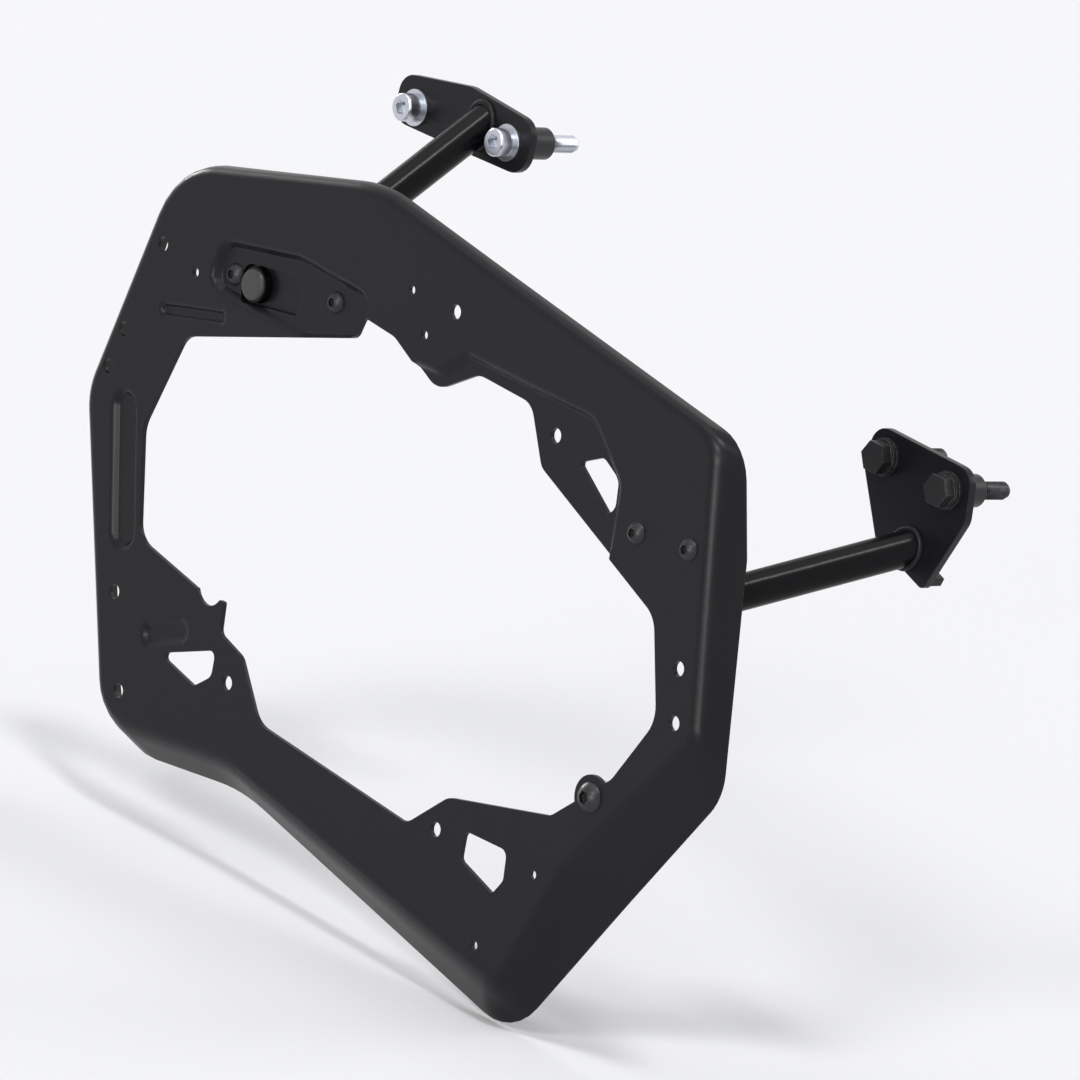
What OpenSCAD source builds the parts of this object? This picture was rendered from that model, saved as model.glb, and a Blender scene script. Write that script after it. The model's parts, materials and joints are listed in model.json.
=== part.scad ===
// Side carrier ring that holds a pannier beside a motorbike's rear wheel.
// X runs forward, Y towards the bike's centre line, Z up. The outer face of the
// pressed ring lies in the plane Y = 0, and the datum is its lower rear hole.

/* [Ring outline] */
// Datum hole to the front corner of the ring's face
ring_front = 360; // [340:1:400]
// Datum hole to the rear corner
ring_rear = 66; // [60:1:90]
// Datum hole up to the crown of the top edge
ring_top = 267; // [258:1:296]
// Datum hole down to the lower front corner
ring_drop = 39; // [34:1:60]

/* [Ring sheet] */
// Thickness of the pressed sheet
sheet = 2.5; // [2:0.1:3]
// Outer radius of the bend between face and flange
bend = 5; // [4:0.5:6]
// Depth of the flange behind the face
flange_depth = 14; // [12:0.5:18]
// Depth of the flange along the top edge
flange_top_depth = 7; // [6.5:0.5:10]
// Height above the datum at which the flange starts to get shallower
flange_taper_start = 185; // [150:5:200]

/* [Ring pressings] */
// Depth of the pocket that takes the foot of the upper stay
pocket_depth = 4; // [3:0.5:5]
// Depth of the shelf along the inner edge of the top bar
shelf_depth = 3; // [2:0.5:4]
// Depth of the bead down the rear bar
bead_depth = 2.5; // [2:0.5:3]
// Width of that bead
bead_w = 16; // [12:1:18]
// Depth of the dent above the three-sided window
dent_depth = 2; // [1:0.5:2.5]
// Depth of the crease under the pocket
crease_depth = 2; // [1:0.5:2]
// Width of that crease
crease_w = 6; // [5:0.5:6.5]
// How far the wall of a pressing leans in
draft_w = 3; // [2:0.5:4]

/* [Ring holes] */
// Diameter of the pannier fixing holes
hole_d = 6.5; // [5:0.1:7]
// Diameter of the small locating holes
pilot_d = 4; // [3:0.5:5]
// Radius of the fastener lug on the inner edge
lug_r = 10; // [9.5:0.5:12]

/* [Stays] */
// Outer diameter of both stay tubes
tube_d = 16; // [14:0.5:18]
// Wall of the stay tubes
tube_wall = 2; // [1.5:0.5:3]
// Thickness of the feet that lie on the back of the ring
foot_t = 3; // [2.5:0.5:4]
// Thickness of the brackets on the bike's side
bracket_t = 4; // [3:0.5:5]
// Upper stay: how far it reaches in towards the bike
upper_reach = 106; // [90:1:130]
// Upper stay: how far it climbs
upper_rise = 77; // [60:1:90]
// Front stay: how far it reaches in towards the bike
front_reach = 88; // [75:1:110]
// Front stay: how far it climbs
front_rise = 38; // [35:1:55]
// Front stay: how far it runs forward
front_run = 33; // [25:1:45]
// Distance between the two bolts of the tail bracket
tail_pitch = 63; // [60:1:76]
// Distance between the two bolts of the frame bracket
frame_pitch = 41; // [36:1:48]
// Width of the fold along the lower edge of the frame bracket
fold_w = 14; // [10:1:20]

/* [Fasteners] */
// Thread diameter of the small screws in the ring
screw_d = 6; // [5:1:6]
// Thread diameter of the bolts into the bike
bolt_d = 8; // [6:1:8]
// Extra diameter of a clearance hole
clearance = 0.5; // [0.3:0.1:1]
// Length of the spacer sleeves behind the tail bracket
tail_spacer_l = 18; // [10:1:30]
// Length of the spacer sleeves behind the frame bracket
frame_spacer_l = 12; // [8:1:30]
// Wall of the spacer sleeves
spacer_wall = 3; // [2:0.5:4]
// Thread that each bolt offers the bike beyond its spacer
thread_out = 17; // [10:1:30]

/* [Hidden] */

// Rounding of every corner arc, in steps
arc_steps = 6;
small_steps = 3;
bend_steps = 4;
// Cutters run this far past the faces they cut
over = 1;

// Corners of the ring's face, clockwise seen from outside: x, z and fillet radius.
// Those of the top follow ring_top, those of the front follow ring_front, and so on.
face_corners = [
    [25 - ring_rear, ring_top - 33, 40],   // top rear
    [155 - ring_rear, ring_top, 80],       // crown of the top edge
    [ring_front - 30, ring_top - 33, 18],  // top front
    [ring_front, 145 - ring_drop, 14],     // front
    [ring_front - 57, 69 - ring_drop, 60], // waist of the lower front edge
    [ring_front - 83, -ring_drop, 12],     // lower front
    [142 - ring_rear, -6, 100],            // hollow of the lower edge
    [-9, -17, 24],                         // lower rear
    [-ring_rear, ring_top - 147, 30]];     // rear
// How far the rim of the flange flares out from each of those corners
flare = [[-1, 2], [0, 2], [12, -2], [11, -22], [27, -10],
         [3, -21], [3, -13], [3, -12], [-1, 0]];
// Extra fillet radius of the rim at each corner
rim_round = [1, 0, 4, 12, 0, 18, 0, 10, 0];

// Run of the top bar, from the step at the end of the pocket to the front corner. What
// lies along it is placed by its share of that run.
step_x = 163 - ring_rear;
top_run = ring_front - step_x;
function along_top(share) = step_x + share * top_run;

// Corners of the large opening, in the same order
opening_corners = [
    [43 - ring_rear, ring_top - 150, 16],   // rear bar
    [57 - ring_rear, ring_top - 103, 10],   // foot of the pocket
    [160 - ring_rear, ring_top - 69, 5],    // end of the pocket
    [step_x, ring_top - 57, 5],             // step up to the top bar
    [along_top(0.095), ring_top - 59, 12],
    [along_top(0.21), ring_top - 73, 12],   // nose under the two small holes
    [along_top(0.3), ring_top - 58, 14],    // shelf
    [along_top(0.437), ring_top - 59, 10],
    [along_top(0.494), ring_top - 83, 8],   // lug with the half-round window
    [ring_front - 42, ring_top - 119, 14],
    [ring_front - 26, 145 - ring_drop, 16], // front bar
    [ring_front - 44, 112 - ring_drop, 12],
    [ring_front - 75, 84 - ring_drop, 8],   // front pad
    [ring_front - 139, 69 - ring_drop, 12],
    [ring_front - 161, 49 - ring_drop, 10], // lower bar
    [93, 18, 14],
    [73, 42, 8],                            // rear pad
    [56, 47, 4],
    [54, 61, 1.2],                          // tooth beside the notch
    [34, 61, 3],
    [-9, 69, 12]];

// Screw places of the upper foot, either side of the pocket window
pocket_x = 109 - ring_rear;
pocket_z = ring_top - 63;
pocket_tilt = 8;
pocket_dir = [cos(pocket_tilt), sin(pocket_tilt)];
foot_screw_reach = 34;
pocket_screws = [for (side = [-1, 1])
    [pocket_x, pocket_z] + side * foot_screw_reach * pocket_dir];
// Screw places of the front foot
front_screws = [[ring_front - 64, ring_top - 89], [ring_front - 31, ring_top - 85]];

// Holes for the pannier's hooks and locks
fixing_holes = [
    [0, 0], [-17, 41], [68, 28],
    [29 - ring_rear, ring_top - 69], [16.5 - ring_rear, ring_top - 113],
    [12 - ring_rear, ring_top - 132],
    [along_top(0.224), ring_top - 36], [ring_front - 142, 53 - ring_drop],
    [along_top(0.51), ring_top - 67],
    [ring_front - 20, ring_top - 135], [ring_front - 15, ring_top - 158]];
pilot_holes = [
    [54 - ring_rear, ring_top - 74],
    [along_top(0.11), ring_top - 36], [along_top(0.164), ring_top - 52],
    [ring_front - 77, 56 - ring_drop], [ring_front - 102, 14 - ring_drop]];

lug = [ring_front - 54, 100 - ring_drop];

// Plane in which a fixed foot lies: the back of the pocket or of the sheet
pocket_back = pocket_depth + sheet;

// Fastener sizes that follow from the thread
screw_clear_r = (screw_d + clearance) / 2;
bolt_clear_r = (bolt_d + clearance) / 2;
screw_washer_r = screw_d;
screw_washer_t = 1.2;
nut_r = 0.96;
nut_h = 0.8;
bolt_head_h = bolt_d * 0.66;
bolt_washer_r = bolt_d * 1.05;
bolt_washer_t = 1.6;
spacer_r = bolt_clear_r + spacer_wall;
screw_tail = screw_washer_t + nut_h * screw_d + 1.5;
// Gaps inside the part: round a welded tube and between thread and nut
weld_gap = 0.1;
thread_gap = 0.05;
plug_l = 9;
// Half width of the upper foot, which also runs this far past its screws
foot_half = 12;
// Plain neck between a bolt's shank and its thread, clear of the spacer
thread_neck = 1;
// Shank of the bolts into the bike, rolled thinner than their thread
shank_r = bolt_d * 0.45;

// Where the stays start on the ring and end at the bike
pocket_foot_y = pocket_back + foot_t;
tail_y = pocket_foot_y + upper_reach;
window_centre = [pocket_x - 7, pocket_z - 3];
upper_foot = window_centre - 12 * pocket_dir;
upper_end = upper_foot + [0, upper_rise];
tail_rear = upper_end + [20 - tail_pitch, -6];
tail_front = upper_end + [20, -2];
tail_places = [tail_rear, tail_front];
// The upper tube leaves the foot square to it and bends upwards once
bend_r = 16;
bend_swell = 0.05;
bend_lap = 0.5;
tube_r = tube_d / 2;
bore_r = tube_r - tube_wall;
// Its end stands this far into the pocket, in the window
tube_proud = 1.5;
tube_start_y = pocket_depth - tube_proud;
upper_stub = pocket_foot_y + 0.5 - tube_start_y;
window_gap = 0.75;
window_half = tube_r + window_gap;
upper_drop = [tail_y - tube_start_y - upper_stub, upper_rise - bend_r];
upper_angle = atan2(upper_drop.y, upper_drop.x) + asin(bend_r / norm(upper_drop));

front_foot_y = sheet + foot_t;
frame_y = front_foot_y + front_reach;
front_foot = [ring_front - 29, ring_top - 110];
front_end = front_foot + [front_run, front_rise];
frame_rear = front_end + [16.5 - frame_pitch, 33];
frame_front = front_end + [16.5, 32];
frame_places = [frame_rear, frame_front];

// Unit vector of v
function unit(v) = v / norm(v);
// Angle turned from direction a to direction b, from -180 to 180
function turn(a, b) = atan2(a.x * b.y - a.y * b.x, a * b);
// Points of the arc that rounds corner b between neighbours a and c
function corner_arc(a, b, c, steps) =
    let (u = unit([a.x - b.x, a.y - b.y]),
         v = unit([c.x - b.x, c.y - b.y]),
         half = acos(u * v) / 2,
         run = b[2] / tan(half),
         centre = [b.x, b.y] + unit(u + v) * b[2] / sin(half),
         start = [b.x, b.y] + u * run - centre,
         sweep = turn(start, [b.x, b.y] + v * run - centre))
    [for (i = [0 : steps])
        let (t = sweep * i / steps)
        centre + [start.x * cos(t) - start.y * sin(t), start.x * sin(t) + start.y * cos(t)]];
// Outline of a corner list with all its corners rounded
function rounded(list, steps = arc_steps) =
    let (n = len(list))
    [for (i = [0 : n - 1])
        each corner_arc(list[(i + n - 1) % n], list[i], list[(i + 1) % n], steps)];
// The same clockwise corners moved inwards, each by its own distance
function moved_in(list, by) =
    let (n = len(list))
    [for (i = [0 : n - 1])
        let (a = list[(i + n - 1) % n], b = list[i], c = list[(i + 1) % n],
             u = unit([b.x - a.x, b.y - a.y]),
             v = unit([c.x - b.x, c.y - b.y]),
             side = unit([u.y + v.y, -u.x - v.x]),
             shift = by[i] / (side * [u.y, -u.x]),
             bulge = turn(u, v) < 0 ? -by[i] : by[i])
        [b.x + side.x * shift, b.y + side.y * shift, max(b[2] + bulge, 0.4)]];
// A list that repeats one value for each corner
function each_by(list, d) = [for (p = list) d];

rim_corners = [for (i = [0 : len(face_corners) - 1])
    [face_corners[i].x + flare[i].x, face_corners[i].y + flare[i].y,
     face_corners[i][2] + rim_round[i]]];
// Wall of the flange in the ring's plane, which grows where the flange slopes
rim_wall = [for (f = flare) sheet * norm([norm(f) * 0.8, flange_depth]) / flange_depth];

// Corners on the flange's wall at a depth, where the wall starts at the face's corners
function on_wall(depth) = [for (i = [0 : len(face_corners) - 1])
    face_corners[i] + (rim_corners[i] - face_corners[i]) * depth / flange_depth];
// Corners part of the way along the bend from a to c, pulled towards b
function bent(a, b, c, t) = [for (i = [0 : len(a) - 1])
    (1 - t) * (1 - t) * a[i] + 2 * t * (1 - t) * b[i] + t * t * c[i]];

// Levels of the pressed dish: each is a depth and an outline
function dish_outer() =
    let (flat = moved_in(face_corners, each_by(face_corners, bend)), wall = on_wall(bend))
    [for (k = [0 : bend_steps]) let (t = k / bend_steps)
        [bend * t * t, rounded(bent(flat, face_corners, wall, t))],
     [flange_depth, rounded(rim_corners)]];
function dish_inner() =
    let (flat = moved_in(face_corners, each_by(face_corners, bend)),
         edge = moved_in(on_wall(sheet), rim_wall), wall = moved_in(on_wall(bend), rim_wall))
    [for (k = [0 : bend_steps]) let (t = k / bend_steps)
        [sheet + (bend - sheet) * t * t, rounded(bent(flat, edge, wall, t))],
     [flange_depth, rounded(moved_in(rim_corners, rim_wall))],
     [flange_depth + over, rounded(moved_in(rim_corners, rim_wall))]];

// Closed solid through a stack of outlines, each at its own depth
module stack(levels) {
    n = len(levels[0][1]);
    last = len(levels) - 1;
    points = [for (l = levels) for (p = l[1]) [p.x, l[0], p.y]];
    sides = [for (k = [0 : last - 1]) for (i = [0 : n - 1])
        let (j = (i + 1) % n, a = k * n, b = a + n)
        each [[a + i, b + i, b + j], [a + i, b + j, a + j]]];
    polyhedron(points, concat(
        [[for (i = [0 : n - 1]) i]],
        sides,
        [[for (i = [n - 1 : -1 : 0]) last * n + i]]), convexity = 8);
}

// Flat outline made solid from depth y0 to y0 + h
module slab(y0, h) {
    rotate([90, 0, 0]) translate([0, 0, -y0 - h]) linear_extrude(h) children();
}
// Round bar along Y
module bar(p, r, y0, h, sides = 48) {
    translate([p.x, y0, p.y]) rotate([-90, 0, 0]) cylinder(r = r, h = h, $fn = sides);
}

// Corners of each pressing, in the same clockwise order
pocket_corners = [
    [pocket_x - 47, pocket_z - 14, 9], [pocket_x - 42, pocket_z + 9, 9],
    [pocket_x + 8, pocket_z + 18, 20], [pocket_x + 56, pocket_z + 16, 8],
    [pocket_x + 62, pocket_z - 4, 8], [pocket_x + 20, pocket_z - 17, 20]];
shelf_corners = [
    [along_top(0.137), ring_top - 88, 8], [along_top(0.141), ring_top - 64, 6],
    [along_top(0.213), ring_top - 64, 8], [along_top(0.274), ring_top - 50, 8],
    [along_top(0.597), ring_top - 50, 14], [ring_front - 80, ring_top - 72, 10],
    [ring_front - 75, ring_top - 120, 8], [along_top(0.43), ring_top - 98, 8]];
bead_top = [28 - ring_rear, ring_top - 146];
bead_foot = [-21, 68];
dent_rear = [12, 31];
dent_front = [30, 39];
crease_rear = [pocket_x - 69, pocket_z - 33];
crease_front = [pocket_x - 33, pocket_z - 24.5];
crease_lean = 0.5;

// Four corners around a line from a to b, with half width w
function around(a, b, w, r) =
    let (u = unit(b - a), v = [-u.y, u.x])
    [for (q = [a - u * w + v * w, b + u * w + v * w, b + u * w - v * w, a - u * w - v * w])
        [q.x, q.y, r]];

// Both sides of a pressing that is sunk by depth from the face. The back starts half way
// through the sheet, so that the two are one piece of metal.
module pressed_back(corners, depth, lean = draft_w) {
    wide = moved_in(corners, each_by(corners, -sheet));
    stack([[sheet / 2, rounded(wide, small_steps)], [sheet, rounded(wide, small_steps)],
           [depth + sheet, rounded(moved_in(wide, each_by(wide, lean)), small_steps)]]);
}
module pressed_front(corners, depth, lean = draft_w) {
    stack([[-over, rounded(moved_in(corners, each_by(corners, -over)), small_steps)],
           [depth, rounded(moved_in(corners, each_by(corners, lean)), small_steps)]]);
}

bead_corners = around(bead_top, bead_foot, bead_w / 2, bead_w / 2 - 0.5);
dent_corners = around(dent_rear, dent_front, 6, 5.5);
crease_corners = around(crease_rear, crease_front, crease_w / 2, crease_w / 2 - 0.3);

module opening() {
    polygon(rounded(opening_corners));
    translate([43, 65]) circle(r = 9, $fn = 40);
}

// Window in the floor of the pocket, behind which the upper stay ends
module pocket_window() {
    translate(window_centre) rotate(pocket_tilt)
        polygon(rounded([[-13 - window_half, -window_half, 6], [-13 - window_half, window_half, 6],
                         [12, window_half, 4], [19, 0, 3], [17, -window_half, 3]]));
}

// Windows in the ring: the pocket's and the three lightening ones
module windows() {
    pocket_window();
    polygon(rounded([[20, 25, 2], [56, 39, 3], [57, 27, 5], [47, 19, 5]]));
    translate([ring_front - 124, 39 - ring_drop])
        polygon(rounded([[0, 20, 3], [28, 21, 4], [30, 8, 4], [25, 0, 3], [1, 7, 3]]));
    translate([along_top(0.582), ring_top - 73])
        polygon(rounded([[-1, 0, 1.5], [13, 7, 5], [25, 1, 6], [27, -12, 5], [23, -15, 1.5]]));
}

// Slanting cut that makes the flange shallower towards the top edge
module flange_taper() {
    rise = ring_top - flange_taper_start;
    slope = (flange_depth - flange_top_depth) / rise;
    z_far = rise + 20;
    rotate([90, 0, 90]) translate([0, 0, -2 * ring_front])
        linear_extrude(4 * ring_front)
            polygon([[flange_depth + 2 * over, flange_taper_start - 2 * over / slope],
                     [flange_depth - slope * z_far, flange_taper_start + z_far],
                     [2 * flange_depth, flange_taper_start + z_far],
                     [2 * flange_depth, flange_taper_start - 2 * over / slope]]);
}

// The sheet as it leaves the press, before anything is cut out of it
module pressed_sheet() difference() {
    union() {
        difference() {
            stack(dish_outer());
            stack(dish_inner());
        }
        pressed_back(pocket_corners, pocket_depth);
        pressed_back(shelf_corners, shelf_depth);
        pressed_back(bead_corners, bead_depth);
        pressed_back(dent_corners, dent_depth);
        pressed_back(crease_corners, crease_depth, crease_w * crease_lean / 2);
    }
    pressed_front(pocket_corners, pocket_depth);
    pressed_front(shelf_corners, shelf_depth);
    pressed_front(bead_corners, bead_depth);
    pressed_front(dent_corners, dent_depth);
    pressed_front(crease_corners, crease_depth, crease_w * crease_lean / 2);
}
// The opening leaves a round lug for a bolt on its lower front edge
module opened_sheet() difference() {
    pressed_sheet();
    difference() {
        slab(-over, flange_depth) opening();
        bar(lug, lug_r, -over, flange_depth);
    }
}
module carrier_ring() color([0.16, 0.16, 0.17]) difference() {
    opened_sheet();
    flange_taper();
    slab(-over, flange_depth) windows();
    for (p = fixing_holes) bar(p, hole_d / 2, -over, flange_depth);
    for (p = pilot_holes) bar(p, pilot_d / 2, -over, flange_depth);
    for (p = concat(pocket_screws, front_screws)) bar(p, screw_clear_r, -over, flange_depth);
    bar(lug, bolt_clear_r, -over, flange_depth);
}

// Plate with round ends that lies on the back of the pocket, round the tube
module upper_stay_foot() color([0.15, 0.15, 0.16]) difference() {
    slab(pocket_back, foot_t)
        polygon(rounded(around(pocket_screws[0], pocket_screws[1], foot_half, foot_half - 1)));
    for (p = pocket_screws) bar(p, screw_clear_r, pocket_back - over, foot_t + 2 * over);
    bar(upper_foot, tube_r + weld_gap, pocket_back - over, foot_t + 2 * over);
}

// Rod along the upper stay's path: a stub square to the foot, one bend and a straight run.
// The bend swells a little, as bent tube does, and the runs lap into it.
module upper_rod(r, extra) {
    arc_y = tube_start_y + upper_stub;
    bar(upper_foot, r, tube_start_y - extra, upper_stub + extra + bend_lap);
    translate([upper_foot.x, arc_y, upper_foot.y + bend_r]) rotate([0, 90, 0]) {
        rotate_extrude(angle = upper_angle, $fn = 96) translate([bend_r, 0])
            circle(r = r + bend_swell, $fn = 48);
        rotate(upper_angle) translate([bend_r, -bend_lap, 0]) rotate([-90, 0, 0])
            cylinder(r = r, h = 2 * upper_reach, $fn = 48);
    }
}
module upper_stay_tube() color([0.14, 0.14, 0.15]) difference() {
    upper_rod(tube_r, 0);
    upper_rod(bore_r, over);
    translate([upper_foot.x - tube_d, tail_y, upper_foot.y - tube_d])
        cube([2 * tube_d, 3 * upper_reach, 5 * upper_reach]);
}
// Plug in the open end of the upper tube, with a rounded edge
module upper_stay_plug() color([0.1, 0.1, 0.1]) {
    translate([upper_foot.x, tube_start_y, upper_foot.y]) rotate([-90, 0, 0]) {
        rotate_extrude($fn = 48) polygon([
            [0, -2], [tube_r - 3, -2], [tube_r - 1.2, -1.4], [tube_r - 0.5, 0],
            [bore_r - 0.05, 0], [bore_r - 0.05, plug_l - 1], [bore_r - 1, plug_l], [0, plug_l]]);
    }
}

// Button-head screws with a hex socket, heads on the outside
module button_screw(p, seat_y, d, length) {
    head_r = d * 0.875;
    head_h = d * 0.55;
    dome_r = (head_r * head_r + head_h * head_h) / (2 * head_h);
    bar(p, d / 2, seat_y - 0.01, length);
    difference() {
        intersection() {
            bar(p, head_r, seat_y - head_h, head_h);
            translate([p.x, seat_y - head_h + dome_r, p.y]) rotate([-90, 0, 0])
                sphere(r = dome_r, $fn = 64);
        }
        bar(p, d * 0.38, seat_y - head_h - over, head_h * 0.65 + over, 6);
    }
}
module washer(p, y0, r, t, hole) {
    difference() {
        bar(p, r, y0, t);
        bar(p, hole, y0 - over, t + 2 * over);
    }
}
module hex_nut(p, y0, d) {
    difference() {
        bar(p, d * nut_r, y0, d * nut_h, 6);
        bar(p, d / 2 + thread_gap, y0 - over, d * nut_h + 2 * over);
    }
}

module upper_foot_screws() color([0.1, 0.1, 0.1]) for (p = pocket_screws)
    button_screw(p, pocket_depth, screw_d, sheet + foot_t + screw_tail);
module upper_foot_washers() color([0.25, 0.25, 0.26]) for (p = pocket_screws)
    washer(p, pocket_foot_y, screw_washer_r, screw_washer_t, screw_clear_r);
module upper_foot_nuts() color([0.25, 0.25, 0.26]) for (p = pocket_screws)
    hex_nut(p, pocket_foot_y + screw_washer_t, screw_d);

// Flat bracket across the two bolts at the tail, with the tube's end against it
module tail_bracket() color([0.15, 0.15, 0.16]) difference() {
    slab(tail_y, bracket_t) polygon(rounded([
        [tail_rear.x - 14, tail_rear.y - 10, 9], [tail_rear.x - 14, tail_rear.y + 12, 9],
        [upper_end.x - 12, upper_end.y + 14, 20], [tail_front.x + 14, tail_front.y + 13, 10],
        [tail_front.x + 14, tail_front.y - 12, 10], [upper_end.x, upper_end.y - 15, 20]]));
    for (p = tail_places) bar(p, bolt_clear_r, tail_y - over, bracket_t + 2 * over);
}
// Shank of a bolt under its seat, with the thread at its free end
module bolt_shank(p, seat_y, length) {
    bar(p, shank_r, seat_y - 0.01, length - thread_out / 2);
    bar(p, bolt_d / 2, seat_y + length - thread_out, thread_out);
}
// Cap bolts with a hex socket, seated on a washer
module cap_bolt(p, seat_y, length) {
    bolt_shank(p, seat_y, length);
    difference() {
        union() {
            bar(p, bolt_d * 0.8, seat_y - bolt_d + 0.8, bolt_d - 0.8);
            translate([p.x, seat_y - bolt_d, p.y]) rotate([-90, 0, 0])
                cylinder(r1 = bolt_d * 0.8 - 0.8, r2 = bolt_d * 0.8, h = 0.8, $fn = 48);
        }
        bar(p, bolt_d * 0.43, seat_y - bolt_d - over, bolt_d * 0.5 + over, 6);
    }
}
module hex_bolt(p, seat_y, length) {
    bolt_shank(p, seat_y, length);
    bar(p, bolt_d * 1.0, seat_y - 1.5, 1.5);
    bar(p, bolt_d * 0.93, seat_y - bolt_head_h - 1.5, bolt_head_h + 0.01, 6);
}
module tail_bolts() color([0.3, 0.3, 0.31]) for (p = tail_places)
    cap_bolt(p, tail_y - bolt_washer_t,
             bolt_washer_t + bracket_t + tail_spacer_l + thread_neck + thread_out);
module tail_washers() color([0.25, 0.25, 0.26]) for (p = tail_places)
    washer(p, tail_y - bolt_washer_t, bolt_washer_r, bolt_washer_t, bolt_clear_r);
module tail_spacers() color([0.2, 0.2, 0.21]) for (p = tail_places)
    washer(p, tail_y + bracket_t, spacer_r, tail_spacer_l, bolt_clear_r);

// Plate behind the front bar of the ring that carries the front tube
module front_stay_foot() color([0.15, 0.15, 0.16]) difference() {
    slab(sheet, foot_t) polygon(rounded([
        [front_screws[0].x - 10, front_screws[0].y - 9, 8],
        [front_screws[0].x - 9, front_screws[0].y + 12, 8],
        [front_screws[1].x + 11, front_screws[1].y + 10, 9],
        [front_foot.x + 11, front_foot.y - 11, 8],
        [front_foot.x - 8, front_foot.y - 12, 5],
        [front_foot.x - 11, front_foot.y + 5, 10]]));
    for (p = front_screws) bar(p, screw_clear_r, sheet - over, foot_t + 2 * over);
}
// Straight tube cut flush with the foot at one end and the bracket at the other
front_dir = [front_run, front_reach, front_rise];
module front_rod(r) {
    translate([front_foot.x, front_foot_y, front_foot.y] - front_dir * 0.5)
        rotate([0, acos(front_rise / norm(front_dir)), atan2(front_reach, front_run)])
            cylinder(r = r, h = 2 * norm(front_dir), $fn = 48);
}
module front_stay_tube() color([0.14, 0.14, 0.15]) intersection() {
    difference() {
        front_rod(tube_r);
        front_rod(bore_r);
    }
    translate([0, front_foot_y, 0]) cube([2 * ring_front, front_reach, 2 * ring_top]);
}
module front_foot_screws() color([0.1, 0.1, 0.1]) for (p = front_screws)
    button_screw(p, 0, screw_d, sheet + foot_t + screw_tail);
module front_foot_washers() color([0.25, 0.25, 0.26]) for (p = front_screws)
    washer(p, front_foot_y, screw_washer_r, screw_washer_t, screw_clear_r);
module front_foot_nuts() color([0.25, 0.25, 0.26]) for (p = front_screws)
    hex_nut(p, front_foot_y + screw_washer_t, screw_d);

// Bracket on the bike's frame: a plate with a fold along its lower edge
fold_a = front_end + [-19, -3];
fold_b = front_end + [15, -14];
module frame_bracket() color([0.15, 0.15, 0.16]) difference() {
    union() {
        slab(frame_y, bracket_t) polygon(rounded([
            [fold_a.x, fold_a.y, 3], [frame_rear.x - 13, frame_rear.y - 6, 8],
            [frame_rear.x - 10, frame_rear.y + 12, 9], [frame_front.x + 11, frame_front.y + 12, 9],
            [frame_front.x + 14, frame_front.y - 10, 9], [fold_b.x, fold_b.y, 3]]));
        slab(frame_y, fold_w) polygon(fold_line());
    }
    for (p = frame_places) bar(p, bolt_clear_r, frame_y - over, bracket_t + 2 * over);
}
// Outline of the folded edge, as thick as the bracket
function fold_line() =
    let (u = unit(fold_b - fold_a), v = [-u.y, u.x])
    [fold_a + 3 * u, fold_a + 3 * u + bracket_t * v, fold_b - 3 * u + bracket_t * v, fold_b - 3 * u];
module frame_bolts() color([0.3, 0.3, 0.31]) for (p = frame_places)
    hex_bolt(p, frame_y - bolt_washer_t,
             bolt_washer_t + bracket_t + frame_spacer_l + thread_neck + thread_out);
module frame_washers() color([0.25, 0.25, 0.26]) for (p = frame_places)
    washer(p, frame_y - bolt_washer_t, bolt_washer_r, bolt_washer_t, bolt_clear_r);
module frame_spacers() color([0.2, 0.2, 0.21]) for (p = frame_places)
    washer(p, frame_y + bracket_t, spacer_r, frame_spacer_l, bolt_clear_r);

// Bolt in the lug, which a pannier's adapter kit pulls up against
module lug_bolt() color([0.1, 0.1, 0.1])
    button_screw(lug, 0, bolt_d, sheet + bolt_washer_t + bolt_d * nut_h + 2);
module lug_washer() color([0.25, 0.25, 0.26])
    washer(lug, sheet, bolt_washer_r, bolt_washer_t, bolt_clear_r);
module lug_nut() color([0.25, 0.25, 0.26])
    hex_nut(lug, sheet + bolt_washer_t, bolt_d);

carrier_ring();
upper_stay_foot();
upper_stay_tube();
upper_stay_plug();
upper_foot_screws();
upper_foot_washers();
upper_foot_nuts();
tail_bracket();
tail_bolts();
tail_washers();
tail_spacers();
front_stay_foot();
front_stay_tube();
front_foot_screws();
front_foot_washers();
front_foot_nuts();
frame_bracket();
frame_bolts();
frame_washers();
frame_spacers();
lug_bolt();
lug_washer();
lug_nut();
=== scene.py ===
import json
import math
import bmesh
import bpy
from mathutils import Matrix, Vector


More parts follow.
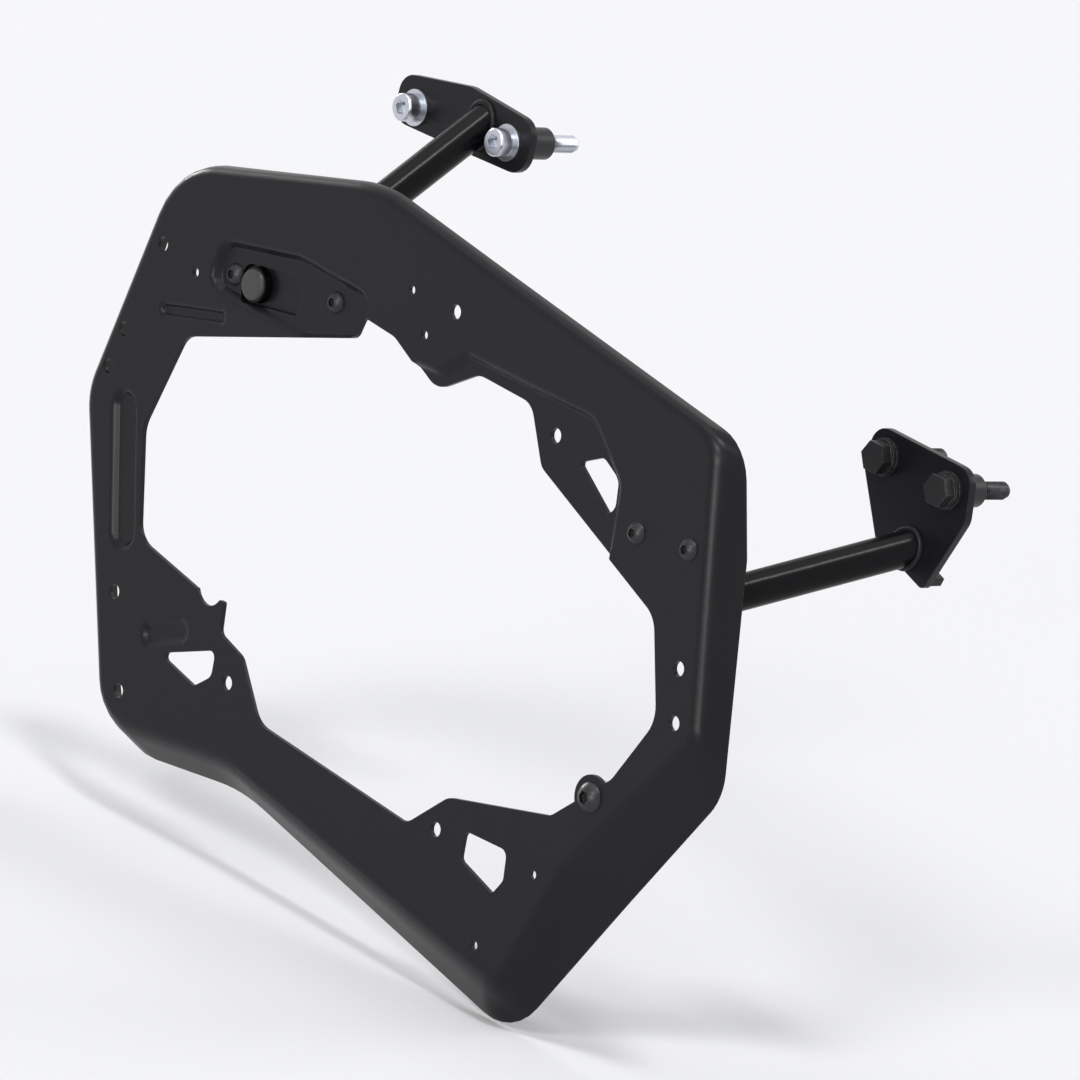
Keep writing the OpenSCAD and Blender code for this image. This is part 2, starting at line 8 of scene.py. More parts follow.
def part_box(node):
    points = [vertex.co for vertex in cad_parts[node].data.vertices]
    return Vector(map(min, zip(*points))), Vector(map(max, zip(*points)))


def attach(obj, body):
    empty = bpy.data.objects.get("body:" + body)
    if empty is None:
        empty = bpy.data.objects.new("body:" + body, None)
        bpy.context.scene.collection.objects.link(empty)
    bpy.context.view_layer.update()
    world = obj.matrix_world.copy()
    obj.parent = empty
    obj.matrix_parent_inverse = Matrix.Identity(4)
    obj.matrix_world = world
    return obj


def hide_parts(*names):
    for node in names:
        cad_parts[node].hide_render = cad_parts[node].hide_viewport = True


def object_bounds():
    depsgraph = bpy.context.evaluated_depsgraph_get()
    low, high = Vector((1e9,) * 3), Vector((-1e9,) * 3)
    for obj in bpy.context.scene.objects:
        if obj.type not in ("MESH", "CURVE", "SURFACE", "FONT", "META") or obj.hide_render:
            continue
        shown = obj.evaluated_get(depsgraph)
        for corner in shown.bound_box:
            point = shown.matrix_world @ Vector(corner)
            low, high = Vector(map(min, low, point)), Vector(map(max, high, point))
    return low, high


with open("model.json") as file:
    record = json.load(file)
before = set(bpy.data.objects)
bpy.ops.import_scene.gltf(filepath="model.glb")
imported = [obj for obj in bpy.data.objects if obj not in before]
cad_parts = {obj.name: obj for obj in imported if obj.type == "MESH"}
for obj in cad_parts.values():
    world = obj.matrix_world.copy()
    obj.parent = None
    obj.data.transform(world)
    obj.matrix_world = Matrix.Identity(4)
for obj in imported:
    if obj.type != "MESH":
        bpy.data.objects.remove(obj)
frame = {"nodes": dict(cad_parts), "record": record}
cad_low, cad_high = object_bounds()

# Camera. A long lens 6 m away, turned to the angle of the photograph: about 45 degrees
# behind the ring's normal, 14 degrees up, and rolled, because the part leans there.
right = Vector((0.6418, 0.7332, 0.2247)).normalized()
up = Vector((-0.3305, 0.0, 0.9438))
back = right.cross(up).normalized()
up = back.cross(right).normalized()
picture_width = 0.4737
picture_centre = right * 0.1887 + up * 0.0673 + back * 0.1137
camera_distance = 6.0
film_width = 36.0
camera_data = bpy.data.cameras.new("camera")
camera_data.sensor_width = film_width
camera_data.lens = film_width * camera_distance / picture_width
camera_data.clip_start = 0.1
camera_data.clip_end = 60.0
camera = bpy.data.objects.new("camera", camera_data)
bpy.context.scene.collection.objects.link(camera)
turn = Matrix((right, up, back)).transposed().to_4x4()
camera.matrix_world = Matrix.Translation(picture_centre + back * camera_distance) @ turn
bpy.context.scene.camera = camera
bpy.context.scene.view_settings.view_transform = "Standard"

# Studio floor. A wide sheet of pale card just under the ring, which also fills the
# background, because the camera looks down on it.
floor_size = 24.0
floor_x = 0.15
floor_gap = 0.0005
bpy.ops.object.select_all(action="DESELECT")
bpy.ops.mesh.primitive_plane_add(size=floor_size, location=(floor_x, 0.0, cad_low.z - floor_gap))
floor = bpy.context.object
floor.name = "floor"
card = bpy.data.materials.new("pale_card")
card.use_nodes = True
card_shader = card.node_tree.nodes["Principled BSDF"]
card_shader.inputs["Base Color"].default_value = (0.93, 0.93, 0.94, 1.0)
card_shader.inputs["Roughness"].default_value = 0.95
card_shader.inputs["Specular IOR Level"].default_value = 0.1
floor.data.materials.append(card)

# Studio light. The world is an even grey for the light it gives, and pale where the camera
# or a reflection sees it. Two high suns light floor and part alike, low ones draw lines on
# the bends, rims and tubes, and an inner one lights the ring's back.
world = bpy.data.worlds.new("studio")
bpy.context.scene.world = world
world.use_nodes = True
world_nodes = world.node_tree.nodes
world_links = world.node_tree.links
lit = world_nodes["Background"]
lit.inputs["Color"].default_value = (0.97, 0.98, 1.0, 1.0)
lit.inputs["Strength"].default_value = 0.38
pale = world_nodes.new("ShaderNodeBackground")
pale.inputs["Color"].default_value = (0.9, 0.9, 0.91, 1.0)
pale.inputs["Strength"].default_value = 1.0
ray = world_nodes.new("ShaderNodeLightPath")
camera_or_glossy = world_nodes.new("ShaderNodeMath")
camera_or_glossy.operation = "MAXIMUM"
any_seen = world_nodes.new("ShaderNodeMath")
any_seen.operation = "MAXIMUM"
shown = world_nodes.new("ShaderNodeMixShader")
world_links.new(ray.outputs["Is Camera Ray"], camera_or_glossy.inputs[0])
world_links.new(ray.outputs["Is Glossy Ray"], camera_or_glossy.inputs[1])
world_links.new(camera_or_glossy.outputs[0], any_seen.inputs[0])
world_links.new(ray.outputs["Is Transmission Ray"], any_seen.inputs[1])
world_links.new(any_seen.outputs[0], shown.inputs[0])
world_links.new(lit.outputs[0], shown.inputs[1])
world_links.new(pale.outputs[0], shown.inputs[2])
world_links.new(shown.outputs[0], world_nodes["World Output"].inputs["Surface"])

for name, towards, strength, spread in [
        ("soft_sun", (-0.25, -0.3, 1.0), 0.4, 40.0),
        ("tube_sun", (0.289, -0.224, 0.931), 0.7, 9.0),
        ("front_sun", (0.32, -0.93, 0.1), 1.0, 20.0),
        ("corner_sun", (0.27, -0.76, 0.58), 0.7, 12.0),
        ("rear_sun", (-0.93, 0.12, 0.2), 0.9, 16.0),
        ("inner_sun", (0.3, 0.8, 0.5), 0.45, 25.0)]:
    sun = bpy.data.lights.new(name, "SUN")
    sun.energy = strength
    sun.angle = math.radians(spread)
    lamp = bpy.data.objects.new(name, sun)
    bpy.context.scene.collection.objects.link(lamp)
    lamp.rotation_mode = "QUATERNION"
    lamp.rotation_quaternion = Vector(towards).to_track_quat("Z", "Y")

# Carrier ring. One 2.5 mm steel sheet, pressed with a rolled flange, pocket, shelf, bead,
# dent and crease, then pierced. Its satin black powder coat has a slight orange peel, a
# fine grain, patches of a little more sheen, and thin edges of a lighter grey: partly
# rubbed by a pannier, partly a painted highlight along the edges.
coat_grain = bpy.data.node_groups.new("coat_grain", "ShaderNodeTree")
for socket in ("Peel size", "Grain size"):
    coat_grain.interface.new_socket(socket, in_out="INPUT", socket_type="NodeSocketFloat")
for socket in ("Height", "Patch"):
    coat_grain.interface.new_socket(socket, in_out="OUTPUT", socket_type="NodeSocketFloat")
group_in = coat_grain.nodes.new("NodeGroupInput")
group_out = coat_grain.nodes.new("NodeGroupOutput")
place = coat_grain.nodes.new("ShaderNodeTexCoord")
peel = coat_grain.nodes.new("ShaderNodeTexNoise")
peel.inputs["Detail"].default_value = 2.0
peel.inputs["Roughness"].default_value = 0.45
grain = coat_grain.nodes.new("ShaderNodeTexNoise")
grain.inputs["Detail"].default_value = 3.0
patch = coat_grain.nodes.new("ShaderNodeTexNoise")
patch.inputs["Scale"].default_value = 22.0
patch.inputs["Detail"].default_value = 4.0
grain_share = coat_grain.nodes.new("ShaderNodeMath")
grain_share.operation = "MULTIPLY"
grain_share.inputs[1].default_value = 0.35
height_sum = coat_grain.nodes.new("ShaderNodeMath")
height_sum.operation = "ADD"
for texture in (peel, grain, patch):
    coat_grain.links.new(place.outputs["Object"], texture.inputs["Vector"])
coat_grain.links.new(group_in.outputs["Peel size"], peel.inputs["Scale"])
coat_grain.links.new(group_in.outputs["Grain size"], grain.inputs["Scale"])
coat_grain.links.new(grain.outputs["Fac"], grain_share.inputs[0])
coat_grain.links.new(peel.outputs["Fac"], height_sum.inputs[0])
coat_grain.links.new(grain_share.outputs[0], height_sum.inputs[1])
coat_grain.links.new(height_sum.outputs[0], group_out.inputs["Height"])
coat_grain.links.new(patch.outputs["Fac"], group_out.inputs["Patch"])

# Edge mask: sharp edges, broken up by noise, which the materials lay in a lighter colour; this is partly
# real rubbing and partly a painted highlight along the edges.
edge_wear_and_highlight = bpy.data.node_groups.new("edge_wear_and_highlight", "ShaderNodeTree")
for socket in ("Width", "Amount", "Breakup"):
    edge_wear_and_highlight.interface.new_socket(socket, in_out="INPUT", socket_type="NodeSocketFloat")
edge_wear_and_highlight.interface.new_socket("Mask", in_out="OUTPUT", socket_type="NodeSocketFloat")
group_in = edge_wear_and_highlight.nodes.new("NodeGroupInput")
group_out = edge_wear_and_highlight.nodes.new("NodeGroupOutput")
rounded_normal = edge_wear_and_highlight.nodes.new("ShaderNodeBevel")
rounded_normal.samples = 4
true_normal = edge_wear_and_highlight.nodes.new("ShaderNodeNewGeometry")
alike = edge_wear_and_highlight.nodes.new("ShaderNodeVectorMath")
alike.operation = "DOT_PRODUCT"
turned = edge_wear_and_highlight.nodes.new("ShaderNodeMapRange")
turned.inputs["From Min"].default_value = 0.995
turned.inputs["From Max"].default_value = 0.9
place = edge_wear_and_highlight.nodes.new("ShaderNodeTexCoord")
breakup = edge_wear_and_highlight.nodes.new("ShaderNodeTexNoise")
breakup.inputs["Detail"].default_value = 5.0
rubbed = edge_wear_and_highlight.nodes.new("ShaderNodeMapRange")
rubbed.inputs["From Min"].default_value = 0.42
rubbed.inputs["From Max"].default_value = 0.62
both = edge_wear_and_highlight.nodes.new("ShaderNodeMath")
both.operation = "MULTIPLY"
scaled = edge_wear_and_highlight.nodes.new("ShaderNodeMath")
scaled.operation = "MULTIPLY"
edge_wear_and_highlight.links.new(group_in.outputs["Width"], rounded_normal.inputs["Radius"])
edge_wear_and_highlight.links.new(rounded_normal.outputs["Normal"], alike.inputs[0])
edge_wear_and_highlight.links.new(true_normal.outputs["Normal"], alike.inputs[1])
edge_wear_and_highlight.links.new(alike.outputs["Value"], turned.inputs["Value"])
edge_wear_and_highlight.links.new(place.outputs["Object"], breakup.inputs["Vector"])
edge_wear_and_highlight.links.new(group_in.outputs["Breakup"], breakup.inputs["Scale"])
edge_wear_and_highlight.links.new(breakup.outputs["Fac"], rubbed.inputs["Value"])
edge_wear_and_highlight.links.new(turned.outputs["Result"], both.inputs[0])
edge_wear_and_highlight.links.new(rubbed.outputs["Result"], both.inputs[1])
edge_wear_and_highlight.links.new(both.outputs[0], scaled.inputs[0])
edge_wear_and_highlight.links.new(group_in.outputs["Amount"], scaled.inputs[1])
edge_wear_and_highlight.links.new(scaled.outputs[0], group_out.inputs["Mask"])


def textured_material(name, grain, scuff_and_highlight, relief, sheen):
    """A material bumped by coat_grain, with patches of two sheens, and an edge mask beside it
    for lighter edges, partly rubbed and partly a painted highlight.

    grain is the peel size and grain size; the next tuple the edge mask's width, amount and
    breakup; relief the strength and depth of the bump; sheen the roughness of the two patches.
    """
    material = bpy.data.materials.new(name)
    material.use_nodes = True
    nodes = material.node_tree.nodes
    links = material.node_tree.links
    shader = nodes["Principled BSDF"]
    skin = nodes.new("ShaderNodeGroup")
    skin.node_tree = coat_grain
    skin.inputs["Peel size"].default_value = grain[0]
    skin.inputs["Grain size"].default_value = grain[1]
    edges = nodes.new("ShaderNodeGroup")
    edges.node_tree = edge_wear_and_highlight
    edges.inputs["Width"].default_value = scuff_and_highlight[0]
    edges.inputs["Amount"].default_value = scuff_and_highlight[1]
    edges.inputs["Breakup"].default_value = scuff_and_highlight[2]
    bump = nodes.new("ShaderNodeBump")
    bump.inputs["Strength"].default_value = relief[0]
    bump.inputs["Distance"].default_value = relief[1]
    patchy = nodes.new("ShaderNodeMapRange")
    patchy.inputs["To Min"].default_value = sheen[0]
    patchy.inputs["To Max"].default_value = sheen[1]
    links.new(skin.outputs["Height"], bump.inputs["Height"])
    links.new(bump.outputs["Normal"], shader.inputs["Normal"])
    links.new(skin.outputs["Patch"], patchy.inputs["Value"])
    links.new(patchy.outputs["Result"], shader.inputs["Roughness"])
    return material, shader, skin, edges


def coated_steel(name, black, worn_and_highlit, roughness, gloss, scuff_and_highlight):
    """Powder coat of one blackness and sheen, with its edges laid a lighter grey: partly rubbing, partly a
    painted highlight.
    """
    material, shader, skin, edges = textured_material(
        name, grain=(420.0, 1900.0), scuff_and_highlight=(0.0012, scuff_and_highlight, 160.0), relief=(0.22, 0.0002),
        sheen=(roughness - 0.05, roughness + 0.05))
    nodes = material.node_tree.nodes
    links = material.node_tree.links
    shader.inputs["Specular IOR Level"].default_value = gloss
    tint = nodes.new("ShaderNodeMix")
    tint.data_type = "RGBA"
    tint.inputs["A"].default_value = (black * 0.85, black * 0.85, black * 1.1, 1.0)
    tint.inputs["B"].default_value = (black * 1.2, black * 1.2, black * 1.55, 1.0)
    colour = nodes.new("ShaderNodeMix")
    colour.data_type = "RGBA"
    # The masked edges take a lighter grey: partly rubbed coat, partly a painted highlight.
    colour.inputs["B"].default_value = (worn_and_highlit, worn_and_highlit, worn_and_highlit * 1.02, 1.0)
    links.new(skin.outputs["Patch"], tint.inputs["Factor"])
    links.new(tint.outputs["Result"], colour.inputs["A"])
    links.new(edges.outputs["Mask"], colour.inputs["Factor"])
    links.new(colour.outputs["Result"], shader.inputs["Base Color"])
    return material


def rolled_rims(mesh, width):
    """Rounds the folds round each pressing in a ring's outer face, and fades out before a cut edge."""
    fade = 0.005
    same_level = 0.00002
    facing_out = -0.99
    cut_wall = 0.05
    least_fold = 15.0
    most_fold = 75.0
    for at_face, share in [(True, 1.0), (False, 0.4)]:
        bpy.ops.mesh.select_all(action="DESELECT")
        bpy.ops.mesh.select_mode(type="EDGE")
        folds = bmesh.from_edit_mesh(mesh)
        rims = []
        for edge in folds.edges:
            depth = edge.verts[0].co.y
            level = abs(depth - edge.verts[1].co.y) < same_level
            outer = len(edge.link_faces) == 2 and min(face.normal.y for face in edge.link_faces) < facing_out
            fold = math.degrees(edge.calc_face_angle(0.0))
            if level and outer and (depth < same_level) == at_face and least_fold < fold < most_fold:
                rims.append(edge)
        for edge in rims:
            cut = [v for v in edge.verts if any(abs(face.normal.y) < cut_wall for face in v.link_faces)]
            for vertex in cut:
                if edge.calc_length() > 2.0 * fade:
                    bmesh.utils.edge_split(edge, vertex, fade / edge.calc_length())
            edge.select_set(all(v not in cut for v in edge.verts))
        bmesh.update_edit_mesh(mesh)
        bpy.ops.mesh.bevel(offset=width * share, segments=3, profile=0.5, clamp_overlap=False)


def finished_copy(node, name, material, edge=0.0003, smooth=35.0, rim=0.0, merge=0.000002):
    """A CAD node's copy with merged faces, softened edges and a finish, which stands for it.

    edge is how wide an edge is softened, smooth the angle under which faces are shaded as
    one, rim the width of the rolled folds, and merge how near two points become one.
    """
    flat_within = 0.6
    sharp_from = 32.0
    mesh = frame["nodes"][node].data.copy()
    piece = bpy.data.objects.new(name, mesh)
    bpy.context.scene.collection.objects.link(piece)
    bpy.ops.object.select_all(action="DESELECT")
    bpy.context.view_layer.objects.active = piece
    piece.select_set(True)
    bpy.ops.object.mode_set(mode="EDIT")
    bpy.ops.mesh.select_all(action="SELECT")
    bpy.ops.mesh.remove_doubles(threshold=merge)
    bpy.ops.mesh.customdata_custom_splitnormals_clear()
    bpy.ops.mesh.dissolve_limited(angle_limit=math.radians(flat_within))
    if rim:
        rolled_rims(mesh, rim)
    bpy.ops.object.mode_set(mode="OBJECT")
    if edge:
        bevel = piece.modifiers.new("softened", "BEVEL")
        bevel.width = edge
        bevel.segments = 2
        bevel.limit_method = "ANGLE"
        bevel.angle_limit = math.radians(sharp_from)
        bevel.use_clamp_overlap = False
        bpy.ops.object.modifier_apply(modifier="softened")
    bpy.ops.object.shade_smooth_by_angle(angle=math.radians(smooth))
    even = piece.modifiers.new("flat_faces_stay_flat", "WEIGHTED_NORMAL")
    even.keep_sharp = True
    bpy.ops.object.modifier_apply(modifier=even.name)
    mesh.materials.clear()
    mesh.materials.append(material)
    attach(piece, "root")
    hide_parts(node)
    return piece


sheet_coat = coated_steel("sheet_coat", black=0.0055, worn_and_highlit=0.03, roughness=0.32, gloss=0.22, scuff_and_highlight=0.5)
finished_copy("carrier_ring", "ring_sheet", sheet_coat, rim=0.0014)

# Stays. Laser-cut feet and brackets with broken edges, and drawn tubes that are welded to
# them. They are powder coated as the ring is, and the tubes come out darker and smoother.
tube_coat = coated_steel("tube_coat", black=0.003, worn_and_highlit=0.02, roughness=0.24, gloss=0.13, scuff_and_highlight=0.25)
for node, name in [
        ("upper_stay_foot", "upper_foot_plate"), ("front_stay_foot", "front_foot_plate"),
        ("tail_bracket", "tail_plate"), ("frame_bracket", "frame_plate")]:
    finished_copy(node, name, sheet_coat, edge=0.0004, merge=0.0003)
for node, name in [("upper_stay_tube", "upper_tube"), ("front_stay_tube", "front_tube")]:
    finished_copy(node, name, tube_coat, edge=0.0003, smooth=40.0)


# Weld beads. Each tube is welded all round to its foot and its bracket before coating: a
# row of small overlapping ripples, left out where a washer needs the room.
def weld_bead(name, centre, lean, ripple_r, washer=None):
    """Bead round a 16 mm tube that meets a plate at centre and leans by the vector lean."""
    tube_r = 0.008
    washer_room = 0.006 + ripple_r * 1.1
    ripple_step = ripple_r * 0.62
    ripple_lean = Matrix.Rotation(math.radians(28.0), 4, "Y")
    plate_normal = Vector((0.0, 1.0, 0.0))
    slant = Vector(lean).normalized()
    in_plane = Vector((slant.x, 0.0, slant.z))
    along = in_plane.normalized() if in_plane.length > 0.01 else Vector((1.0, 0.0, 0.0))
    across = plate_normal.cross(along)
    stretch = 1.0 / abs(slant.y)
    around = 2.0 * math.pi * tube_r * (1.0 + stretch) / 2.0
    count = round(around / ripple_step)
    bpy.ops.object.select_all(action="DESELECT")
    bpy.ops.mesh.primitive_uv_sphere_add(segments=14, ring_count=8, radius=ripple_r)
    ripple = bpy.context.object
    bpy.ops.transform.resize(value=(0.6, 1.0, 1.0))
    bpy.ops.object.transform_apply(location=False, rotation=False, scale=True)
    ripples = []
    for number in range(count):
        angle = 2.0 * math.pi * number / count
        lengthways = along * tube_r * stretch * math.cos(angle)
        spot = Vector(centre) + lengthways + across * tube_r * math.sin(angle)
        if washer and (spot - Vector(washer)).length < washer_room:
            continue
        tangent = (across * math.cos(angle) - along * stretch * math.sin(angle)).normalized()
        copy = ripple.copy()
        copy.data = ripple.data.copy()
        bpy.context.scene.collection.objects.link(copy)
        bead_turn = Matrix((tangent, plate_normal, tangent.cross(plate_normal))).transposed().to_4x4()
        copy.matrix_world = Matrix.Translation(spot) @ bead_turn @ ripple_lean
        ripples.append(copy)
    bpy.data.objects.remove(ripple)
    bpy.ops.object.select_all(action="DESELECT")
    for copy in ripples:
        copy.select_set(True)
    bead = ripples[0]
    bpy.context.view_layer.objects.active = bead
    bpy.ops.object.join()
    bpy.ops.object.transform_apply(location=True, rotation=True, scale=True)
    bead.name = name
    fused = bead.modifiers.new("fused", "REMESH")
    fused.mode = "VOXEL"
    fused.voxel_size = 0.00032
    bpy.ops.object.modifier_apply(modifier="fused")
    bpy.ops.object.shade_smooth()
    bead.data.materials.append(sheet_coat)
    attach(bead, "root")


pocket_screws = [(0.009331, 0.199268), (0.076669, 0.208732)]
upper_tube_x = 0.024117
upper_foot = (upper_tube_x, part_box("upper_stay_foot")[1].y, 0.19933)
upper_end = (upper_tube_x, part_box("tail_bracket")[0].y, 0.27633)
upper_end_lean = (0.0, 0.7925, 0.6099)
front_foot = (0.331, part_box("front_stay_foot")[1].y, 0.157)
front_end = (0.364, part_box("frame_bracket")[0].y, 0.195)
front_lean = Vector(front_end) - Vector(front_foot)
near_washer = (pocket_screws[0][0], upper_foot[1], pocket_screws[0][1])
weld_bead("weld_upper_foot", upper_foot, (0.0, 1.0, 0.0), 0.0016, near_washer)
weld_bead("weld_upper_end", upper_end, upper_end_lean, 0.0019)
weld_bead("weld_front_foot", front_foot, front_lean, 0.0018)
weld_bead("weld_front_end", front_end, front_lean, 0.0019)

# Plug. A moulded cap of black plastic, pressed into the upper tube's open end and seen in
# the pocket's window, with a lighter grey rim: partly scuffs, partly a painted highlight.
plug_plastic, plug_shader, _, plug_scuff_and_highlight = textured_material(
    "plug_plastic", grain=(1500.0, 4200.0), scuff_and_highlight=(0.0009, 0.6, 420.0), relief=(0.35, 0.0001),
    sheen=(0.3, 0.5))
plug_shader.inputs["Specular IOR Level"].default_value = 0.5
shade = plug_plastic.node_tree.nodes.new("ShaderNodeMix")
shade.data_type = "RGBA"
shade.inputs["A"].default_value = (0.03, 0.03, 0.031, 1.0)
# The masked rims take a lighter grey: partly scuffs, partly a painted highlight.
shade.inputs["B"].default_value = (0.07, 0.07, 0.072, 1.0)
plug_plastic.node_tree.links.new(plug_scuff_and_highlight.outputs["Mask"], shade.inputs["Factor"])
plug_plastic.node_tree.links.new(shade.outputs["Result"], plug_shader.inputs["Base Color"])
finished_copy("upper_stay_plug", "tube_plug", plug_plastic, edge=0.0003, smooth=40.0)


# Washers and spacers. Punched washers, zinc plated at the feet, lug and tail and black at
# the frame bracket, and turned black sleeves that stand each bracket off on its bolts.
def bare_steel(name, colour, dull, metallic, roughness, scuff_and_highlight):
    """Plated or blackened steel: patches of two tones, faint tool marks, and edges laid a pale grey, partly
    rubbed bare metal and partly a painted highlight.
    """
    material, shader, skin, edges = textured_material(
        name, grain=(1300.0, 5200.0), scuff_and_highlight=(0.0005, scuff_and_highlight, 600.0), relief=(0.15, 0.00006),
        sheen=(roughness + 0.08, roughness - 0.08))
    nodes = material.node_tree.nodes
    links = material.node_tree.links
    shader.inputs["Metallic"].default_value = metallic
    tint = nodes.new("ShaderNodeMix")
    tint.data_type = "RGBA"
    tint.inputs["A"].default_value = (*dull, 1.0)
    tint.inputs["B"].default_value = (*colour, 1.0)
    # The masked edges take a pale grey: partly rubbed bare metal, partly a painted highlight.
    bright = nodes.new("ShaderNodeMix")
    bright.data_type = "RGBA"
    bright.inputs["B"].default_value = (0.5, 0.5, 0.52, 1.0)
    spread = nodes.new("ShaderNodeMapRange")
    spread.inputs["From Min"].default_value = 0.3
    spread.inputs["From Max"].default_value = 0.7
    links.new(skin.outputs["Patch"], spread.inputs["Value"])
    links.new(spread.outputs["Result"], tint.inputs["Factor"])
    links.new(tint.outputs["Result"], bright.inputs["A"])
    links.new(edges.outputs["Mask"], bright.inputs["Factor"])
    links.new(bright.outputs["Result"], shader.inputs["Base Color"])
    return material


zinc_steel = bare_steel(
    "zinc_steel", colour=(0.62, 0.64, 0.69), dull=(0.45, 0.47, 0.52), metallic=1.0, roughness=0.3, scuff_and_highlight=0.3)
black_steel = bare_steel(
    "black_steel", colour=(0.03, 0.03, 0.032), dull=(0.02, 0.02, 0.022), metallic=0.5, roughness=0.38,
    scuff_and_highlight=0.25)
for node, name in [
        ("upper_foot_washers", "upper_foot_washer_pair"), ("tail_washers", "tail_washer_pair"),
        ("front_foot_washers", "front_foot_washer_pair"), ("lug_washer", "lug_washer_disc")]:
    finished_copy(node, name, zinc_steel, edge=0.0002, smooth=40.0)
finished_copy("frame_washers", "frame_washer_pair", black_steel, edge=0.0002, smooth=40.0)
for node, name in [("tail_spacers", "tail_sleeves"), ("frame_spacers", "frame_sleeves")]:
    finished_copy(node, name, black_steel, edge=0.0004, smooth=40.0)


# Bolts and screws. Cap, hex and button heads forged on a shank, zinc plated at the tail and
# black elsewhere, with a rolled thread at the free end and a chamfered tip.
def rolled_thread(piece, x, z, start, tip, nominal_r, pitch):
    """Turns the end of a shank down to the thread's core and winds the thread's ridge on it."""
    core_r = nominal_r - pitch * 0.6
    ridge_r = pitch * 0.48
    chamfer = pitch * 0.8
    chamfer_scale = 0.85
    run_out = 0.0002
    margin = 0.0001
    past_tip = tip + 0.001
    shank_reach = nominal_r * 1.02
    steps_a_turn = 24
    turns = max(1, int((tip - chamfer * 0.6 - start) / pitch) - 1)

    def select_shank(low, high):
        shank = bmesh.from_edit_mesh(piece.data)
        for vertex in shank.verts:
            reach = math.hypot(vertex.co.x - x, vertex.co.z - z)
            vertex.select_set(reach < shank_reach and low < vertex.co.y < high)
        shank.select_flush(True)
        bmesh.update_edit_mesh(piece.data)

    bpy.ops.object.select_all(action="DESELECT")
    piece.select_set(True)
    bpy.context.view_layer.objects.active = piece
    bpy.ops.object.mode_set(mode="EDIT")
    bpy.ops.mesh.select_mode(type="VERT")
    for cut in (start, start + run_out, tip - chamfer):
        select_shank(0.0, 1.0)
        bpy.ops.mesh.bisect(plane_co=(x, cut, z), plane_no=(0.0, 1.0, 0.0))
    for low, scale in [(start + margin, core_r / nominal_r), (tip - margin, chamfer_scale)]:
        select_shank(low, past_tip)
        bpy.ops.transform.resize(value=(scale, 1.0, scale), center_override=(x, 0.0, z))
    bpy.ops.object.mode_set(mode="OBJECT")

    bpy.ops.object.select_all(action="DESELECT")
    bpy.ops.mesh.primitive_circle_add(
        vertices=4, radius=ridge_r, fill_type="NOTHING", location=(x, start + run_out + pitch / 2.0, z))
    ridge = bpy.context.object
    bpy.ops.object.mode_set(mode="EDIT")
    bpy.ops.mesh.select_all(action="SELECT")
    bpy.ops.transform.resize(value=((nominal_r - core_r) / ridge_r, 1.0, 1.0))
    bpy.ops.transform.translate(value=(core_r, 0.0, 0.0))
    bpy.ops.object.mode_set(mode="OBJECT")
    winding = ridge.modifiers.new("wound", "SCREW")
    winding.axis = "Y"
    winding.screw_offset = pitch
    winding.iterations = turns
    winding.steps = steps_a_turn
    winding.render_steps = steps_a_turn
    winding.use_merge_vertices = True
    bpy.ops.object.modifier_apply(modifier="wound")
    bpy.ops.object.mode_set(mode="EDIT")
    bpy.ops.mesh.select_all(action="SELECT")
    bpy.ops.mesh.fill_holes(sides=4)
    bpy.ops.mesh.select_all(action="SELECT")
    bpy.ops.mesh.normals_make_consistent(inside=False)
    bpy.ops.object.mode_set(mode="OBJECT")
    bpy.ops.object.transform_apply(location=True, rotation=True, scale=True)
    bpy.ops.object.shade_smooth_by_angle(angle=math.radians(30.0))
    ridge.data.materials.append(piece.data.materials[0])
    piece.select_set(True)
    bpy.context.view_layer.objects.active = piece
    bpy.ops.object.join()


m8_r = 0.004
m8_pitch = 0.00125
m6_r = 0.003
m6_pitch = 0.001
mount_thread = 0.017
foot_thread = 0.0028
lug_thread = 0.0034
mount_places = {mount["name"]: Vector(mount["pos_m"]) for mount in frame["record"]["mounts"]}
for node, name, slot, material, mounts in [
        ("tail_bolts", "tail_cap_bolts", "zinc_steel", zinc_steel,
         ("tail_bolt_front", "tail_bolt_rear")),
        ("frame_bolts", "frame_hex_bolts", "black_steel", black_steel,
         ("frame_bolt_front", "frame_bolt_rear"))]:
    bolts = finished_copy(node, name, material, edge=0.0002, smooth=40.0)
    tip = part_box(node)[1].y
    for mount in mounts:
        spot = mount_places[mount]
        rolled_thread(bolts, spot.x, spot.z, tip - mount_thread, tip, m8_r, m8_pitch)
front_screws = [(0.296, 0.178), (0.329, 0.182)]
for node, name, screw_places in [
        ("upper_foot_screws", "upper_foot_button_screws", pocket_screws),
        ("front_foot_screws", "front_foot_button_screws", front_screws)]:
    screws = finished_copy(node, name, black_steel, edge=0.00015, smooth=40.0)
    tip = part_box(node)[1].y
    for x, z in screw_places:
        rolled_thread(screws, x, z, tip - foot_thread, tip, m6_r, m6_pitch)
lug = (0.306, 0.061)
lug_bolt = finished_copy("lug_bolt", "lug_button_bolt", black_steel, edge=0.0002, smooth=40.0)
lug_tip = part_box("lug_bolt")[1].y
rolled_thread(lug_bolt, lug[0], lug[1], lug_tip - lug_thread, lug_tip, m8_r, m8_pitch)


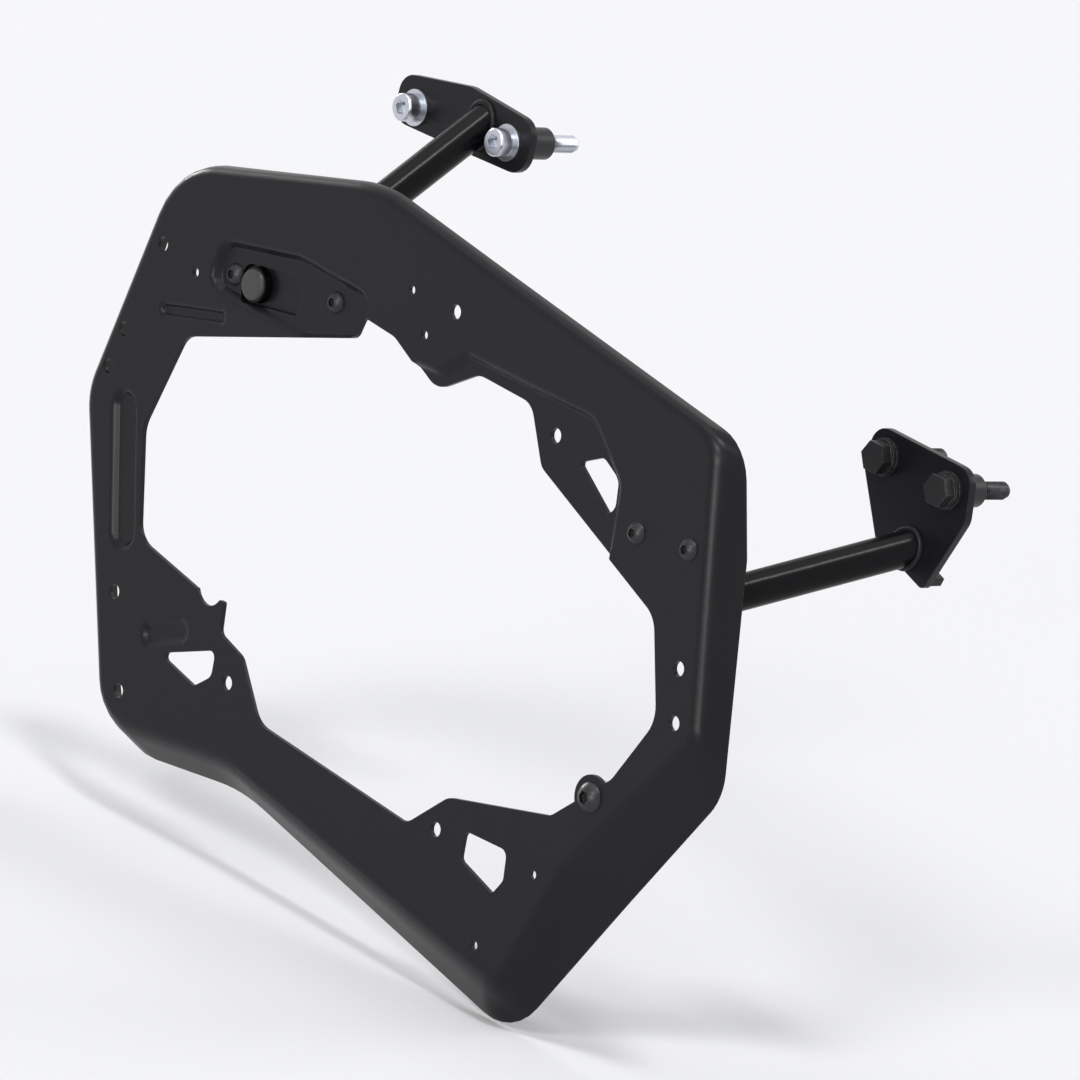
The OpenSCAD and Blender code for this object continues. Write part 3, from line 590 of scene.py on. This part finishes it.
# Nuts. Zinc-plated hex nuts, cold formed and tapped, with the corners of both faces turned
# down to a chamfer.
def chamfered_nuts(node, name, nut_places, corner_r):
    """A copy of a node's nuts, cut by a chamfered round blank so that their corners are turned."""
    low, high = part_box(node)
    middle = (low.y + high.y) / 2.0
    blank_r = corner_r * 0.995
    blank_height = high.y - low.y + 0.00002
    chamfer = corner_r * 0.13
    same_level = 0.00001
    nuts = finished_copy(node, name, zinc_steel, edge=0.0)
    blanks = []
    for x, z in nut_places:
        bpy.ops.object.select_all(action="DESELECT")
        bpy.ops.mesh.primitive_cylinder_add(
            vertices=64, radius=blank_r, depth=blank_height, location=(x, middle, z),
            rotation=(math.radians(90.0), 0.0, 0.0))
        blank = bpy.context.object
        bpy.ops.object.transform_apply(location=True, rotation=True, scale=True)
        bpy.ops.object.mode_set(mode="EDIT")
        bpy.ops.mesh.select_mode(type="EDGE")
        rims = bmesh.from_edit_mesh(blank.data)
        for edge in rims.edges:
            edge.select_set(abs(edge.verts[0].co.y - edge.verts[1].co.y) < same_level)
        bmesh.update_edit_mesh(blank.data)
        bpy.ops.mesh.bevel(offset=chamfer, segments=1)
        bpy.ops.object.mode_set(mode="OBJECT")
        blanks.append(blank)
    for blank in blanks:
        blank.select_set(True)
    bpy.context.view_layer.objects.active = blanks[0]
    bpy.ops.object.join()
    bpy.ops.object.select_all(action="DESELECT")
    nuts.select_set(True)
    bpy.context.view_layer.objects.active = nuts
    turned = nuts.modifiers.new("turned", "BOOLEAN")
    turned.operation = "INTERSECT"
    turned.solver = "EXACT"
    turned.object = blanks[0]
    bpy.ops.object.modifier_apply(modifier="turned")
    bpy.data.objects.remove(blanks[0])
    bpy.ops.object.shade_smooth_by_angle(angle=math.radians(25.0))


m6_corner_r = 0.00576
m8_corner_r = 0.00768
chamfered_nuts("upper_foot_nuts", "upper_foot_nut_pair", pocket_screws, m6_corner_r)
chamfered_nuts("front_foot_nuts", "front_foot_nut_pair", front_screws, m6_corner_r)
chamfered_nuts("lug_nut", "lug_nut_single", [lug], m8_corner_r)
